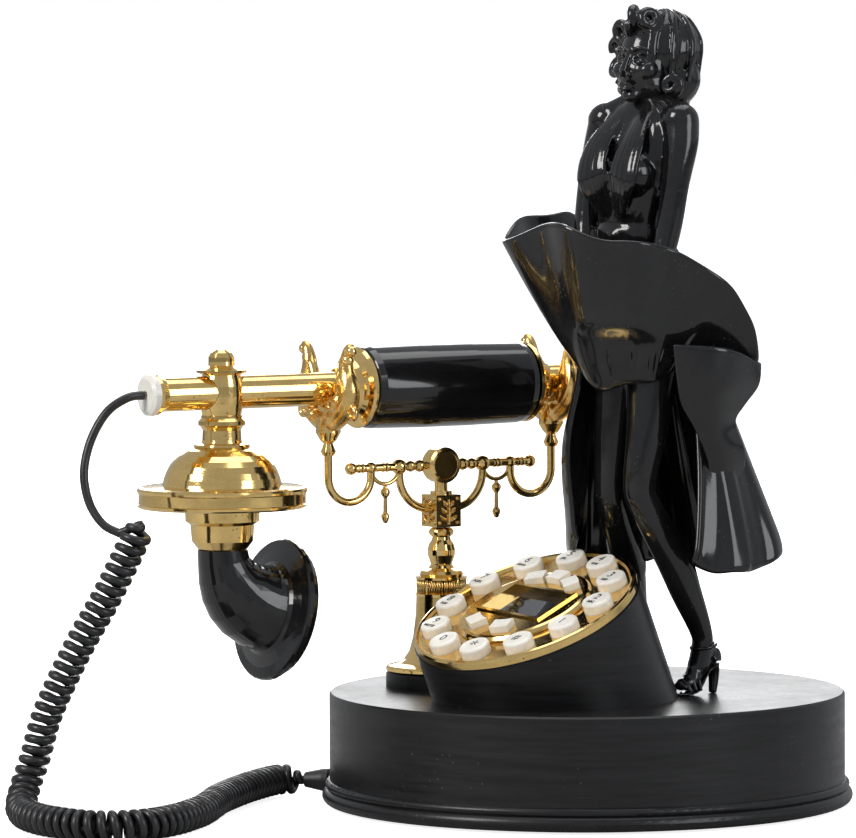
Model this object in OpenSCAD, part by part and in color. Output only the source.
// Desk telephone on a round black base: a brass cradle post carries the handset,
// a tilted round keypad stands in front, and a cast figurine stands beside it.
// Millimetres. +Z is up, -Y is the user's side, and the origin is the centre of
// the felt pad's lower face, where the telephone stands on the table.

/* [Base] */
// Radius of the drum, without its foot moulding
base_r = 107; // [106:0.5:110]
// Height of the base above the table
base_h = 47; // [46:0.5:50]
// Thickness of the base's top
base_top = 5; // [4:0.5:6]

/* [Keypad] */
// Radius of the tilted keypad housing
pod_r = 48; // [47.8:0.1:49]
// Tilt of the keypad towards the user, in degrees
pod_tilt = 25; // [22:1:27]
// Height of the key plate's centre above the table
pod_z = 84.5; // [84:0.5:90]
// Turn of the key layout on its plate, in degrees
key_layout_turn = -7; // [-15:1:15]
// Diameter of a dial key
key_d = 12.5; // [11:0.5:13]
// Radius of the circle of dial keys
key_ring_r = 37.4; // [36.5:0.1:37.8]

/* [Cradle] */
// Turn of the cradle from straight back, clockwise seen from above, in degrees
cradle_turn = 13; // [10:1:16]
// Height of the crossbar above the table
bar_z = 139.7; // [138:0.1:142]
// Distance from the post to each yoke
yoke_y = 54.9; // [53:0.1:57]
// Radius of the cradle's bent rods
rod_r = 1.7; // [1.4:0.1:2]

/* [Handset] */
// Height of the handset's centre line above the table
handset_z = 173.3; // [172:0.1:175]
// Outer radius of the handset's tube
tube_r = 6.9; // [6.5:0.1:7.1]
// Largest radius of the grip
grip_r = 17.5; // [16:0.5:19]
// Half length of the grip
grip_half = 40; // [37:1:41]
// Distance from the post to the centre of each earpiece or mouthpiece tee
tee_y = 105.6; // [104:0.1:107]
// Radius of the wide bell rims
rim_r = 35; // [33:0.1:36]

/* [Cord] */
// Diameter of the cord's jacket
cord_d = 3.6; // [3:0.1:4]
// Outer diameter of the curly stretch
curl_d = 13.5; // [12:0.1:13.8]

/* [Hidden] */
$fn = 96;
BLACK = "#16161a";
GOLD = "#d9a940";
IVORY = "#f1ecdf";
STEEL = "#9aa0a6";

// The base
wall = 10;
cover_r = 100.5;
cover_z = 1.5;
cover_h = 3;
boss_ring_r = 88;
boss_angles = [45, 135, 225, 315];
ringer_at = [40, -40];
board_at = [10, 35];
// The cord's gland leaves the moulding here
gland_angle = 212;
gland_z = 7;
gland_end = base_r + 14;
// The keypad
pod_at = [14.8, -51.6];
pod_foot_at = [14, -38];
pod_wall = 3;
plate_under = -1.2;
plate_top = 0.8;
bezel_top = 3;
key_top = 5.3;
key_bottom = -7.6;
display_y = 1.8;
first_key_angle = -15;
function_key_angles = [122, 90, 58, 247, 293];
// The cradle post
post_at = [-56.7, -28.4];
bore_r = 2.6;
stud_r = 4.4;
plunger_r = 2.2;
rest_gap = 0.4;
spring_r = 3.7;
spring_low = 22.6;
spring_high = 29.4;
spring_turns = 4;
plinth_r = 23.4;
plinth_top = base_h + 7;
// The cradle, in its own frame: y along the handset, x across it
bead_y = 20.5;
ball_y = 34.3;
end_y = 44;
hook_r = (yoke_y - ball_y) / 2;
hook_z = bar_z - 3.5;
scroll_r = 14.5;
swag_y = (bead_y + ball_y) / 2;
fork_r = tube_r + rest_gap + 2.2;
// The handset
tube_front = -138;
tube_back = 118;
fit = 0.1;
// The mouthpiece
cup_z = 109;
elbow_r = 25.5;
elbow_turn = 78;
elbow_run = elbow_r * elbow_turn * PI / 180;
horn_wall = 2.5;
// The horn's outside up to its flange, as [distance along the bend, radius]
HORN_OUTSIDE = [[0, 10.3], [5, 10.7], [10, 12.2], [15, 14], [20, 15.6], [25, 16.8], [30, 17.6],
    [elbow_run, 18.2]];
// The figurine, left and right as the figurine's own
figure_at = [27, 0];
// Where a screw comes up through the base's top into each shoe
SHOE_SCREWS = [[45, 14], [1.6, 21.5]];

// Route of the plain lead, from the handset's bushing to the curly stretch
LEAD_ROUTE = [[-88.7, -167.1, 173.3], [-90.3, -174, 172.6], [-94.5, -181.5, 167],
    [-97, -188, 156], [-97, -192, 143], [-93.5, -192.5, 131], [-87, -191, 122.5],
    [-80.5, -188, 119]];
// Centre line of the curly stretch, from the lead down to the table and the gland
COIL_ROUTE = [[-73.5, -182.5, 122.5], [-79, -186.5, 108], [-85.5, -191.5, 92],
    [-93.5, -196.5, 76], [-100.5, -201, 60], [-107, -204.5, 44], [-111, -207, 28],
    [-112.5, -211.5, 15], [-106, -219, 8], [-89, -227.5, 7], [-68, -232, 7], [-49.5, -229, 7],
    [-39.5, -215, 7], [-42, -194.5, 7], [-55, -168, 7], [-68, -150, 7], [-80, -134, 7],
    [-97, -105, 7], [-107, -84, 7], [-110.5, -71.5, 7], [-102.9, -64.3, 7]];

// ---------- helpers ----------
// A turned piece, from its outline of [radius, height] points
module turned(outline) rotate_extrude() polygon(outline);
// A tube or plain rod along z
module ring(outer, inner, low, high) difference() {
    translate([0, 0, low]) cylinder(r = outer, h = high - low);
    if (inner > 0) translate([0, 0, low - 1]) cylinder(r = inner, h = high - low + 2);
}
// The frames of the sub-assemblies
module on_plate() translate([pod_at.x, pod_at.y, pod_z]) rotate([pod_tilt, 0, 0])
    rotate([0, 0, key_layout_turn]) children();
module at_post() translate([post_at.x, post_at.y, 0]) rotate([0, 0, -cradle_turn]) children();
module along_handset() at_post() translate([0, 0, handset_z]) rotate([-90, 0, 0]) children();
module at_tee(side) at_post() translate([0, side * tee_y, 0]) children();
// Part of a bent rod in the cradle's y-z plane, about [y, z]
module bent_rod(y, z, bend_r, r, from, turn) translate([0, y, z]) rotate([90, 0, 90])
    rotate([0, 0, from]) rotate_extrude(angle = turn) translate([bend_r, 0]) circle(r = r, $fn = 32);
module ball(y, z, r) translate([0, y, z]) sphere(r = r, $fn = 48);
// A limb between two joints
module limb(a, ra, b, rb, fine = 18) hull() {
    translate(a) sphere(r = ra, $fn = fine);
    translate(b) sphere(r = rb, $fn = fine);
}
module lump(at, size, fine = 22) translate(at) scale(size) sphere(r = 1, $fn = fine);

function unit(v) = v / norm(v);
// A point on the smooth curve through four route points
function curve_at(a, b, c, d, t) = 0.5 * (2 * b + (c - a) * t + (2 * a - 5 * b + 4 * c - d) * t * t
    + (3 * b - a - 3 * c + d) * t * t * t);
// A route with `steps` points on every stretch
function smooth(route, steps) = let (n = len(route) - 1) [
    for (i = [0 : n - 1]) for (k = [0 : steps - 1])
        curve_at(route[max(i - 1, 0)], route[i], route[i + 1], route[min(i + 2, n)], k / steps),
    route[n]];
function tangents(path) = let (n = len(path) - 1)
    [for (i = [0 : n]) unit(path[min(i + 1, n)] - path[max(i - 1, 0)])];
// One side vector for each tangent, carried along without twist
function sides_of(t, i = 0, last = [0.2, 0.3, 1]) = i == len(t) ? [] :
    let (s = unit(last - (last * t[i]) * t[i])) concat([s], sides_of(t, i + 1, s));
// A round tube swept along a path of points. r is one radius, or one for each point.
module swept(path, r, sides) {
    radii = is_list(r) ? r : [for (p = path) r];
    t = tangents(path);
    s = sides_of(t);
    n = len(path);
    points = [for (i = [0 : n - 1]) for (k = [0 : sides - 1])
        path[i] + radii[i] * (cos(k * 360 / sides) * s[i] + sin(k * 360 / sides) * cross(t[i], s[i]))];
    walls = [for (i = [0 : n - 2]) for (k = [0 : sides - 1])
        let (m = (k + 1) % sides)
        [i * sides + k, i * sides + m, (i + 1) * sides + m, (i + 1) * sides + k]];
    ends = [[for (k = [sides - 1 : -1 : 0]) k], [for (k = [0 : sides - 1]) (n - 1) * sides + k]];
    polyhedron(points, [for (f = concat(walls, ends)) [for (k = [len(f) - 1 : -1 : 0]) f[k]]]);
}

// ---------- base ----------
module around(angles, r) for (a = angles) rotate([0, 0, a]) translate([r, 0, 0]) children();

module base_shell() color(BLACK) difference() {
    union() {
        turned([[0, base_h - base_top], [base_r - wall, base_h - base_top],
            [base_r - wall, cover_z + cover_h], [cover_r + fit, cover_z + cover_h],
            [cover_r + fit, 1], [base_r, 1], [base_r, base_h - 0.8], [base_r - 0.8, base_h],
            [0, base_h]]);
        rotate_extrude() translate([base_r, 4.2]) circle(r = 3.2, $fn = 48);
        rotate_extrude() translate([base_r, 8.7]) circle(r = 1.9, $fn = 48);
        around(boss_angles, boss_ring_r) ring(4.5, 0, cover_z + cover_h, base_h - base_top + 1);
    }
    around(boss_angles, boss_ring_r) cylinder(r = 1.6, h = 22);
    translate([post_at.x, post_at.y, 0]) cylinder(r = stud_r + fit, h = base_h + 1);
    translate([pod_foot_at.x, pod_foot_at.y, 0]) cylinder(r = 8, h = base_h + 1);
    for (p = SHOE_SCREWS) translate([p.x, p.y, 0]) cylinder(r = 1.7, h = base_h + 1);
    rotate([0, 0, gland_angle]) translate([base_r - wall - 5, 0, gland_z]) rotate([0, 90, 0])
        cylinder(r = 3.1, h = wall + 15);
    translate([-8.1, base_r - wall - 5, 12]) cube([16.2, wall + 10, 15]);
}

module bottom_cover() color("#2a2a2e") difference() {
    union() {
        ring(cover_r, 0, cover_z, cover_z + cover_h);
        for (x = [-38, 38]) for (y = [-22, 22])
            translate([board_at.x + x, board_at.y + y, 0]) ring(2.5, 0, cover_z + cover_h - 1, 12);
    }
    around(boss_angles, boss_ring_r) cylinder(r = 1.8, h = 20);
    translate([ringer_at.x, ringer_at.y, 0]) for (a = [0 : 60 : 300]) rotate([0, 0, a])
        translate([7, 0, 0]) cylinder(r = 1.6, h = 10);
    rotate([0, 0, gland_angle]) translate([cover_r - 10, -4, 0]) cube([20, 8, 20]);
}

module felt_pad() color("#1d3a2a") difference() {
    cylinder(r = cover_r - 1, h = cover_z);
    around(boss_angles, boss_ring_r) translate([0, 0, -1]) cylinder(r = 5, h = 5);
    translate([ringer_at.x, ringer_at.y, -1]) cylinder(r = 12, h = 5);
    rotate([0, 0, gland_angle]) translate([cover_r - 10, -4, -1]) cube([20, 8, 20]);
}

module cover_screws() color(STEEL) around(boss_angles, boss_ring_r) {
    difference() {
        translate([0, 0, 0.4]) cylinder(r = 3.2, h = cover_z - 0.4);
        translate([-4, -0.4, 0]) cube([8, 0.8, 0.9]);
    }
    translate([0, 0, cover_z]) cylinder(r = 1.5, h = 18);
}

module main_board() color("#2f6b3a") translate([board_at.x, board_at.y, 0]) {
    translate([-45, -28, 12]) cube([90, 56, 1.6]);
    translate([-12, -10, 13.6]) cube([24, 18, 3]);
    translate([-38, -14, 13.6]) cube([12, 26, 9]);
    for (x = [18 : 7 : 39]) translate([x, 6, 13.6]) cylinder(r = 2.6, h = 9, $fn = 32);
}

module ringer() color("#202024") translate([ringer_at.x, ringer_at.y, cover_z + cover_h])
    difference() {
        cylinder(r = 15, h = 10);
        translate([0, 0, -1]) cylinder(r = 12.5, h = 3);
    }

module line_jack() color("#26262a") difference() {
    translate([-8, base_r - wall - 9, 12.1]) cube([16, wall + 7.6, 14.8]);
    translate([-5.9, base_r - wall - 5, 15.5]) cube([11.8, 30, 8]);
    translate([-3.2, base_r - wall - 5, 14]) cube([6.4, 30, 3]);
}

module cord_gland() color("#101013") rotate([0, 0, gland_angle])
    translate([0, 0, gland_z]) rotate([0, 90, 0]) difference() {
        turned([[0, base_r - wall - 4], [4.6, base_r - wall - 4], [4.6, base_r - wall - 2],
            [3, base_r - wall - 2], [3, base_r + 3.6], [4.8, base_r + 3.6], [4.8, base_r + 6],
            [3.2, gland_end - 0.4], [2.8, gland_end], [0, gland_end]]);
        cylinder(r = cord_d / 2, h = gland_end + 1);
    }

module hook_switch() color("#303036") at_post() difference() {
    translate([-8, -12, cover_z + cover_h]) cube([16, 24, 17.5]);
    translate([-9, -9, 17]) cube([18, 18, 3.4]);
    translate([0, 0, 15]) cylinder(r = bore_r, h = 10);
}

// The spring that lifts the cradle when the handset is taken off
module return_spring() color(STEEL) at_post() swept([for (i = [0 : 18 * spring_turns])
    let (a = i * 20) [spring_r * cos(a), spring_r * sin(a),
        spring_low + (spring_high - spring_low) * i / (18 * spring_turns)]], 0.45, 6);

module figurine_screws() color(STEEL) for (p = SHOE_SCREWS) translate([p.x, p.y, 0]) {
    translate([0, 0, base_h - base_top - 2.5]) cylinder(r = 3.4, h = 2.5);
    translate([0, 0, base_h - base_top]) cylinder(r = 1.5, h = base_top + 6);
}

// The cover's four screws, the figurine's two and the post's nut
module fixings() {
    cover_screws();
    figurine_screws();
    post_nut();
}

// ---------- keypad ----------
module above_base() intersection() {
    children();
    translate([-150, -150, base_h]) cube(300);
}

module pod_housing() color(BLACK) above_base() on_plate() difference() {
    union() {
        ring(pod_r, pod_r - pod_wall, -110, plate_under);
        ring(pod_r - pod_wall + 0.5, 41, -18.4, -16.1);
    }
    // A flat for the rim's lower edge keeps the join with the plate square
    ring(pod_r + 1, pod_r - 0.5, plate_under - 0.6, plate_under + 1);
}

module key_places() for (i = [0 : 11]) rotate([0, 0, first_key_angle + i * 30])
    translate([key_ring_r, 0, 0]) children();

// The outline of a function key: a piece of a ring, grown by `extra`
module key_sector(angle, extra) rotate([0, 0, angle]) intersection() {
    difference() {
        circle(r = 24.3 + extra);
        circle(r = 17.8 - extra);
    }
    translate([17 - extra, -4.2 - extra]) square([9 + 2 * extra, 8.4 + 2 * extra]);
}

module dial_plate() color(GOLD) on_plate() difference() {
    turned([[26, plate_under], [pod_r - 0.6, plate_under], [pod_r - 0.6, 1.3],
        [pod_r - 1.1, 2], [pod_r - 2, 2.3], [pod_r - 2.9, 1.9], [pod_r - 3.6, plate_top],
        [26, plate_top - 0.2]]);
    key_places() translate([0, 0, -5]) cylinder(r = key_d / 2 + 0.35, h = 12);
}

module window(w, h, low, high) translate([-w / 2, display_y - h / 2, low]) cube([w, h, high - low]);

module inner_bezel() color(GOLD) on_plate() difference() {
    union() {
        turned([[0, plate_top], [28.4, plate_top], [28.4, 1.6], [27.4, 2.7], [26, bezel_top],
            [0, bezel_top]]);
        window(39, 22.5, 2, bezel_top + 0.8);
    }
    window(36, 19.5, -1, 10);
    for (a = function_key_angles) translate([0, 0, -1]) linear_extrude(12) key_sector(a, 0.3);
}

module display_lens() color("#30343a") on_plate() window(37.4, 20.9, -0.5, plate_top);
module lcd_panel() color("#5c6a5a") on_plate() window(37.4, 20.9, -2.6, -0.6);
module key_membrane() color("#d8d4c8") on_plate() difference() {
    ring(43.5, 0, -14.4, -9.4);
    translate([0, display_y, -20]) cylinder(r = 10, h = 30);
}
module keypad_board() color("#2f6b3a") on_plate() difference() {
    ring(44, 0, -16, -14.4);
    translate([0, 0, -20]) cylinder(r = 4, h = 10);
}

module dial_key(i) color(IVORY) on_plate() rotate([0, 0, first_key_angle + i * 30])
    translate([key_ring_r, 0, 0]) turned([[0, key_bottom], [5, key_bottom], [5, -3],
        [7.3, -3], [7.3, plate_under - 0.1], [key_d / 2, plate_under - 0.1],
        [key_d / 2, key_top - 0.9], [key_d / 2 - 0.35, key_top - 0.3], [key_d / 2 - 1.1, key_top],
        [0, key_top + 0.25]]);
module function_key(i) color(IVORY) on_plate() translate([0, 0, key_bottom])
    linear_extrude(key_top + 0.4 - key_bottom) key_sector(function_key_angles[i], 0);

// ---------- cradle post ----------
module post_plinth() color(BLACK) at_post() turned([[stud_r + fit, base_h], [plinth_r, base_h],
    [plinth_r, plinth_top - 1.4], [plinth_r - 1.2, plinth_top], [stud_r + fit, plinth_top]]);
module post_foot() color(GOLD) at_post() turned([[bore_r, 37.5], [stud_r, 37.5],
    [stud_r, plinth_top], [plinth_r, plinth_top], [plinth_r, 55.1], [plinth_r - 0.8, 56],
    [18.4, 57], [15.8, 58.6], [13.6, 62], [12, 68], [11, 76], [10.6, 85], [bore_r, 85]]);
module knurled_collar() color(GOLD) at_post() difference() {
    union() {
        translate([0, 0, 86]) linear_extrude(6) polygon([for (i = [0 : 71])
            (i % 2 == 0 ? 10.3 : 9.6) * [cos(i * 5), sin(i * 5)]]);
        ring(10.7, 0, 85, 86);
        ring(10.7, 0, 92, 93);
    }
    translate([0, 0, 80]) cylinder(r = bore_r, h = 20);
}
module post_vase() color(GOLD) at_post() turned([[bore_r, 93], [8.8, 93], [9.2, 94.2], [8.2, 95.6],
    [5.6, 96.6], [4.4, 98], [4.9, 99.6], [5.7, 102], [5.85, 104.2], [5.2, 106.6], [4, 108.4],
    [3.7, 109.6], [5, 110.6], [5.3, 111.8], [4.8, 113], [3.6, 113.6], [bore_r, 113.6]]);
module post_nut() color(STEEL) at_post() difference() {
    translate([0, 0, 38]) cylinder(r = 9, h = base_h - base_top - 38, $fn = 6);
    translate([0, 0, 30]) cylinder(r = stud_r + fit, h = 20);
}

// ---------- sprung cradle ----------
module cradle_frame() color(GOLD) at_post() difference() {
    union() {
        translate([-6, -6, 114]) cube([12, 12, 13.4]);
        ring(4.6, 0, 127.4, 128.8);
        ring(2.8, 0, 128, bar_z);
        translate([0, -end_y, bar_z]) rotate([-90, 0, 0]) cylinder(r = rod_r, h = 2 * end_y, $fn = 32);
        for (s = [-1, 1]) {
            ball(s * end_y, bar_z, 2.6);
            ball(s * ball_y, bar_z, 2.5);
            ball(s * bead_y, bar_z, 3.3);
            ball(s * (bead_y - 5.4), bar_z, 2.4);
            ball(s * 10.6, bar_z, 2.6);
        }
        for (m = [0, 1]) mirror([0, m, 0]) {
            bent_rod(6, hook_z, scroll_r, rod_r, 270, 90);
            translate([0, bead_y, hook_z]) cylinder(r = rod_r, h = 3.5, $fn = 32);
            bent_rod(swag_y, bar_z, (ball_y - bead_y) / 2, 0.9, 180, 180);
            translate([0, ball_y, hook_z]) cylinder(r = rod_r, h = 3.5, $fn = 32);
            bent_rod(ball_y + hook_r, hook_z, hook_r, rod_r, 180, 180);
            translate([0, yoke_y, hook_z]) cylinder(r = rod_r, h = 9.4, $fn = 32);
        }
    }
    translate([-5, 0, bar_z]) rotate([0, 90, 0]) cylinder(r = 7.5, h = 10);
}

module cradle_medallion() color(GOLD) at_post() translate([0, 0, bar_z]) rotate([0, 90, 0])
    rotate_extrude() polygon([[0, -4], [5.6, -4], [6.2, -3.4], [7.5, -3.2], [7.5, 3.2], [6.2, 3.4],
        [5.6, 4], [0, 4]]);

// A yoke is a turned stem, a fork that cups the tube, and two prongs that flare out
module fork() translate([0, yoke_y, handset_z]) rotate([90, 0, 0]) {
    rotate([0, 0, 180]) rotate_extrude(angle = 180) translate([fork_r, 0]) circle(r = 2.2, $fn = 32);
    for (m = [0, 1]) mirror([m, 0, 0]) {
        translate([fork_r + 15, 0, 0]) rotate([0, 0, 125]) rotate_extrude(angle = 55)
            translate([15, 0]) circle(r = 2.2, $fn = 32);
        translate([fork_r + 15 + 15 * cos(125), 15 * sin(125), 0]) sphere(r = 2.6, $fn = 48);
        translate([fork_r + 9.4, 16, 0]) sphere(r = 2.3, $fn = 48);
    }
}
module yoke_stem() translate([0, yoke_y, 0]) turned([[0, hook_z + 9.4], [2.4, hook_z + 9.4],
    [3.2, 147.2], [2.5, 149], [1.9, 150.6], [3.4, 152], [5.2, 155.2], [5, 158.2], [3.2, 161],
    [2.4, 162.6], [2.4, handset_z - fork_r], [0, handset_z - fork_r]]);
module cradle_yokes() color(GOLD) at_post() for (m = [0, 1]) mirror([0, m, 0]) {
    yoke_stem();
    fork();
}

module pendant_drops() color(GOLD) at_post() for (s = [-1, 1])
    translate([0, s * swag_y, bar_z - (ball_y - bead_y) / 2 - 0.9]) turned([[0, -15.6], [0.8, -15.4],
        [1.3, -14.4], [1.8, -13], [1.7, -12], [0.9, -11], [0.8, -5], [1.6, -4], [2.1, -2.8],
        [1.9, -1.6], [1, -0.8], [0.8, 0], [0, 0]]);

module plunger_rod() color(STEEL) at_post() {
    translate([0, 0, 18]) cylinder(r = plunger_r, h = 96);
    translate([0, 0, 30]) cylinder(r = 5, h = 1.2);
}

// ---------- handset ----------
module handset_tube() color(GOLD) along_handset() turned([[tube_r - 1.2, tube_front],
    [tube_r + 1.1, tube_front], [tube_r + 1.4, tube_front + 1.4], [tube_r, tube_front + 4.4],
    [tube_r, tube_back - 3], [tube_r - 2.5, tube_back], [0, tube_back + 0.8],
    [0, tube_back - 1.5], [tube_r - 1.2, tube_back - 3.5]]);
module cord_bushing() color(IVORY) along_handset() turned([[cord_d / 2, tube_front - 3.4],
    [6.6, tube_front - 3.4], [8.3, tube_front - 2.4], [8.5, tube_front - 0.1],
    [tube_r - 1.3, tube_front - 0.1], [tube_r - 1.3, tube_front + 6], [cord_d / 2, tube_front + 6]]);
module handset_grip() color(BLACK) along_handset() turned([[tube_r + fit, -grip_half],
    [grip_r - 2.6, -grip_half], [grip_r - 1, 1.2 - grip_half], [grip_r - 0.4, 4 - grip_half],
    [grip_r, -12], [grip_r, 12], [grip_r - 0.4, grip_half - 4], [grip_r - 1, grip_half - 1.2],
    [grip_r - 2.6, grip_half], [tube_r + fit, grip_half]]);
module grip_collars() color(GOLD) for (m = [0, 1]) along_handset() mirror([0, 0, m])
    turned([[tube_r + fit, grip_half + 0.1], [16.4, grip_half + 0.1], [16.9, grip_half + 1.2],
        [16.2, grip_half + 2.4], [13.6, grip_half + 3], [12.2, grip_half + 4.6],
        [11, grip_half + 7], [9.2, grip_half + 9], [8.4, grip_half + 10.6],
        [tube_r + fit, grip_half + 10.6]]);

// A tee holds the tube and carries a bell under it
module tee(side) color(GOLD) at_tee(side) {
    difference() {
        turned([[0, 164], [8, 164], [8.4, 166], [8.8, 169], [8.9, 172], [8.8, 176], [8.3, 179],
            [7.8, 181], [0, 181]]);
        translate([0, -20, handset_z]) rotate([-90, 0, 0]) cylinder(r = tube_r + fit, h = 40);
    }
    turned([[0, 154], [8, 154], [7.8, 158], [8.6, 159.4], [9.6, 160.2], [9.6, 161.8],
        [8.4, 163], [8.4, 164], [0, 164]]);
    turned([[0, 181], [8.6, 181], [10.2, 181.6], [10.2, 182.6], [7.4, 183.6], [5.4, 184.4],
        [5.3, 186], [5.3, 187.8], [4.3, 189.6], [2.2, 190.8], [0, 191]]);
}
module mouth_tee() tee(-1);
module ear_tee() tee(1);

module bell(side) color(GOLD) at_tee(side) turned([[0, 154], [8, 154], [8.4, 152.8],
    [11.2, 152.2], [11.6, 151.4], [11.4, 150.8], [14.2, 149.8], [17.2, 148], [19.6, 145.9],
    [21.4, 143.8], [22.8, 141.2], [23.8, 138.6], [24.3, 136.4], [24.6, 135.4],
    [rim_r - 2.2, 135], [rim_r - 0.7, 134.5], [rim_r, 133.6], [rim_r - 0.2, 132.7],
    [rim_r - 0.7, 132.3], [rim_r - 0.7, 128.2], [rim_r - 0.1, 127.8], [rim_r - 0.3, 126.9],
    [rim_r - 1.6, 126.2], [rim_r - 7, 126.2], [rim_r - 8, 127.5], [20, 127.5], [20, 134],
    [20.4, 138], [19.4, 141.6], [17.2, 144.4], [13.6, 146.8], [9, 148.4], [0, 149]]);
module mouth_bell() bell(-1);
module ear_bell() bell(1);

module mouth_cup() color(GOLD) at_tee(-1) turned([[9.5, cup_z], [9.8, cup_z], [12.6, 112.6],
    [13.2, 119.4], [15.2, 120.8], [15.4, 127.4], [19.6, 127.4], [19.6, 129], [12.6, 129],
    [12.6, 121], [10.6, 118], [9.5, 112]]);
module mic_capsule() color("#3a3a3e") at_tee(-1) ring(12.2, 0, 121.2, 128);

// The bent speaking horn, in the plane of the handset. Its outline runs out along the
// outside, over the flange and back inside, as [distance along the bend, radius].
function bend_place(s) = let (a = min(s, elbow_run) / elbow_r * 180 / PI, past = max(s - elbow_run, 0))
    [a, elbow_r * (1 - cos(a)) + past * sin(a), -elbow_r * sin(a) - past * cos(a)];
module bent(outline, sides) {
    n = len(outline);
    points = [for (p = outline) let (b = bend_place(p[0])) for (k = [0 : sides - 1])
        let (side = p[1] * cos(k * 360 / sides), across = p[1] * sin(k * 360 / sides))
        [side, b[1] + across * cos(b[0]), b[2] + across * sin(b[0])]];
    polyhedron(points, [for (i = [0 : n - 1]) for (k = [0 : sides - 1])
        let (j = (i + 1) % n, m = (k + 1) % sides)
        [i * sides + k, i * sides + m, j * sides + m, j * sides + k]]);
}
module mouth_horn() color(BLACK) at_tee(-1) translate([0, 0, cup_z]) bent(concat(HORN_OUTSIDE,
    [for (p = [[1, 19.6], [2, 24.5], [2.6, 28.8], [3.4, 29.4], [5.2, 29.4], [5.8, 28.4], [8.6, 27],
        [9.2, 25.6], [8.4, 23.6], [5, 19], [2, 16.6]]) [elbow_run + p[0], p[1]]],
    [for (i = [len(HORN_OUTSIDE) - 1 : -1 : 0]) HORN_OUTSIDE[i] - [0, horn_wall]]), 40);

module ear_capsule() color(BLACK) at_tee(1) difference() {
    turned([[0, 112], [20, 112], [24.5, 113], [27.4, 115.4], [28.4, 119], [27.6, 123],
        [25.4, 126], [24, 127.4], [19.6, 127.4], [19.6, 133], [0, 133]]);
    translate([0, 0, 110]) cylinder(r1 = 19, r2 = 10, h = 5);
    for (a = [0 : 60 : 300]) rotate([0, 0, a]) translate([6, 0, 110]) cylinder(r = 1.4, h = 10);
    translate([0, 0, 110]) cylinder(r = 1.4, h = 10);
}

// ---------- figurine ----------
// Each leg: foot, ankle, calf, knee, thigh and hip
LEFT_LEG = [[45.6, 18, 57], [45.8, 20.5, 69], [41, 6, 97], [31.5, -14, 131], [34, -8, 160],
    [37, 2, 201]];
RIGHT_LEG = [[2.1, 25.5, 57], [2.2, 27.5, 69], [4.5, 10, 97], [9, -12, 127], [12, -8, 160],
    [17, 1, 201]];
LEG_R = [5, 5.1, 9, 9.1, 11.6, 13.5];
// Each shoe: toe, ball of the foot and heel
LEFT_SHOE = [[44.6, 11.4, 50.2], [45, 14, 51.8], [46.4, 26.2, 48.6]];
RIGHT_SHOE = [[0.7, 19.2, 50.2], [1.6, 21.5, 51.8], [2.6, 33, 48.6]];
LEFT_ARM = [[50, 4, 281], [50.5, 0, 260], [49, -3, 236], [43, -12, 206], [35.5, -20, 182]];
RIGHT_ARM = [[7, 4, 281], [4.5, 0, 260], [5, -5, 238], [14, -15, 208], [26, -21, 184]];
ARM_R = [7.4, 6.4, 5.4, 4.6, 3.9];
// The skirt is blown up into a bowl in front and hangs as a drape behind.
// Each hem is a row of angle about the figure, radius and height.
BOWL_HEM = [[-90, 46, 236], [-45, 45, 237], [-15, 46, 226], [10, 50, 202], [25, 54, 187],
    [40, 50, 184], [60, 30, 190], [80, 20, 195], [130, 20, 195], [150, 34, 215], [165, 44, 236],
    [180, 45, 246], [205, 50, 242], [225, 52.5, 238], [270, 46, 236]];
DRAPE_HEM = [[-90, 15, 205], [0, 17, 200], [15, 46, 150], [30, 52, 126], [50, 57, 118],
    [64, 58, 100], [110, 56, 97], [135, 50, 104], [150, 40, 140], [162, 18, 200], [270, 15, 205]];
function column(table, k) = [for (row = table) [row[0], row[k]]];
// A closed form from a small ring at [radius, height] out to a hem, with an axis point at each end
module flared(hem, from, thin, from_axis, to_axis, bulge, around_count = 36, down = 5) {
    n = around_count;
    points = concat([[figure_at.x, figure_at.y, from_axis]],
        [for (k = [0 : down]) for (i = [0 : n - 1])
            let (a = -90 + i * 360 / n, s = k / down,
                r = from[0] + (lookup(a, column(hem, 1)) - from[0]) * pow(s, bulge) - thin)
            [figure_at.x + r * cos(a), figure_at.y + r * sin(a),
                from[1] + (lookup(a, column(hem, 2)) - from[1]) * s]],
        [[figure_at.x, figure_at.y, to_axis]]);
    last = len(points) - 1;
    faces = concat([for (i = [0 : n - 1]) [0, 1 + (i + 1) % n, 1 + i]],
        [for (k = [0 : down - 1]) for (i = [0 : n - 1])
            let (p = 1 + k * n + i, q = 1 + k * n + (i + 1) % n)
            each [[p, q, q + n], [p, q + n, p + n]]],
        [for (i = [0 : n - 1]) [last, last - n + i, last - n + (i + 1) % n]]);
    rising = from_axis < to_axis;
    polyhedron(points, [for (f = faces) rising ? [f[2], f[1], f[0]] : f]);
}
module skirt() {
    difference() {
        flared(BOWL_HEM, [21, 172], 0, 172, 228, 1);
        flared(BOWL_HEM, [21, 177], 3, 177, 275, 1);
    }
    difference() {
        flared(DRAPE_HEM, [14, 233], 0, 233, 150, 0.75);
        flared(DRAPE_HEM, [14, 229], 3, 229, 30, 0.75);
    }
}
module leg(p, shoe) {
    swept(smooth(p, 3), smooth(LEG_R, 3), 14);
    limb(shoe[0], 2.9, shoe[1], 4.3, 15);
    limb(shoe[1] + [0, 0.3, 0.2], 4.4, p[0] + [0, 1, 2], 5.2, 16);
    limb(p[0] + [0.3, 4.5, 3], 3.3, shoe[2], 1.7, 14);
}
module arm(p) swept(smooth(p, 3), smooth(ARM_R, 3), 12);
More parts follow.
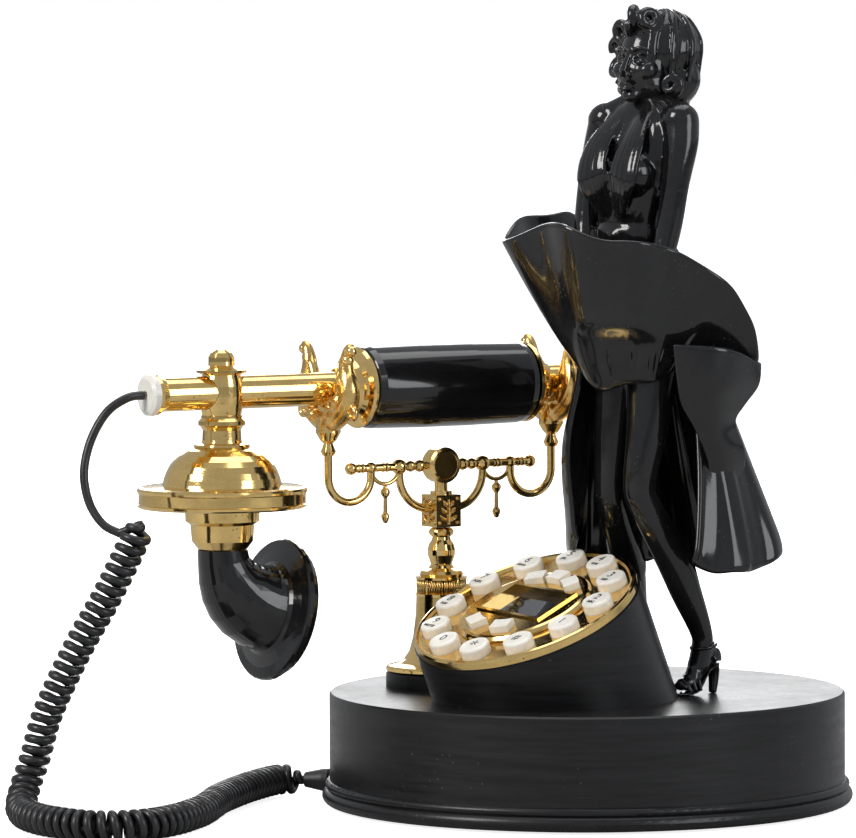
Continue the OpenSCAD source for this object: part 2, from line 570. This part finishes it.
module torso() {
    hull() {
        lump([27, 1, 186], [21, 17, 14]);
        lump([27, 5, 202], [22, 17, 14]);
        lump([27, 1, 205], [22, 15, 15]);
        lump([26.5, -1.5, 236], [15, 11, 8]);
    }
    hull() {
        lump([26.4, -1.3, 237], [14.8, 10.9, 8], 20);
        lump([27.5, 0, 262], [19, 13, 14]);
        lump([28.5, 4, 280], [20, 8, 6]);
    }
    for (x = [19, 36]) lump([x, -10, 263], [8.5, 8.5, 9]);
    limb([28.5, 6, 284], 8, [29, 9, 300], 5.6);
}
module head() {
    translate([29.5, 9.5, 311]) rotate([10, 0, 0]) lump([0, 0, 0], [11.5, 14, 16.5]);
    lump([30, 14, 316.5], [17, 18, 18]);
    lump([30, 16, 305], [15.5, 13.5, 13]);
}
module figurine_legs() color(BLACK) difference() {
    union() {
        leg(LEFT_LEG, LEFT_SHOE);
        leg(RIGHT_LEG, RIGHT_SHOE);
    }
    for (p = SHOE_SCREWS) translate([p.x, p.y, base_h - 1]) cylinder(r = 1.75, h = 8, $fn = 24);
    translate([-150, -150, 0]) cube([300, 300, base_h]);
}
module figurine_torso() color(BLACK) {
    torso();
    arm(LEFT_ARM);
    arm(RIGHT_ARM);
    head();
}
module figurine_skirt() color(BLACK) skirt();

// ---------- handset cord ----------
module cord_lead() color(BLACK) swept(smooth(LEAD_ROUTE, 3), cord_d / 2, 8);
module cord_coil() color(BLACK) swept(smooth(COIL_ROUTE, 3), curl_d / 2, 12);

base_shell();
bottom_cover();
felt_pad();
main_board();
ringer();
line_jack();
cord_gland();
hook_switch();
return_spring();
fixings();
pod_housing();
dial_plate();
inner_bezel();
display_lens();
lcd_panel();
key_membrane();
keypad_board();
dial_key(0);  // key_1
dial_key(1);  // key_2
dial_key(2);  // key_3
dial_key(3);  // key_4
dial_key(4);  // key_5
dial_key(5);  // key_6
dial_key(6);  // key_7
dial_key(7);  // key_8
dial_key(8);  // key_9
dial_key(9);  // key_0
dial_key(10);  // key_star
dial_key(11);  // key_hash
function_key(0);  // function_key_1
function_key(1);  // function_key_2
function_key(2);  // function_key_3
function_key(3);  // function_key_4
function_key(4);  // function_key_5
post_plinth();
post_foot();
knurled_collar();
post_vase();
cradle_frame();
cradle_medallion();
cradle_yokes();
pendant_drops();
plunger_rod();
handset_tube();
cord_bushing();
handset_grip();
grip_collars();
mouth_tee();
ear_tee();
mouth_bell();
ear_bell();
mouth_cup();
mic_capsule();
mouth_horn();
ear_capsule();
figurine_legs();
figurine_torso();
figurine_skirt();
cord_lead();
cord_coil();
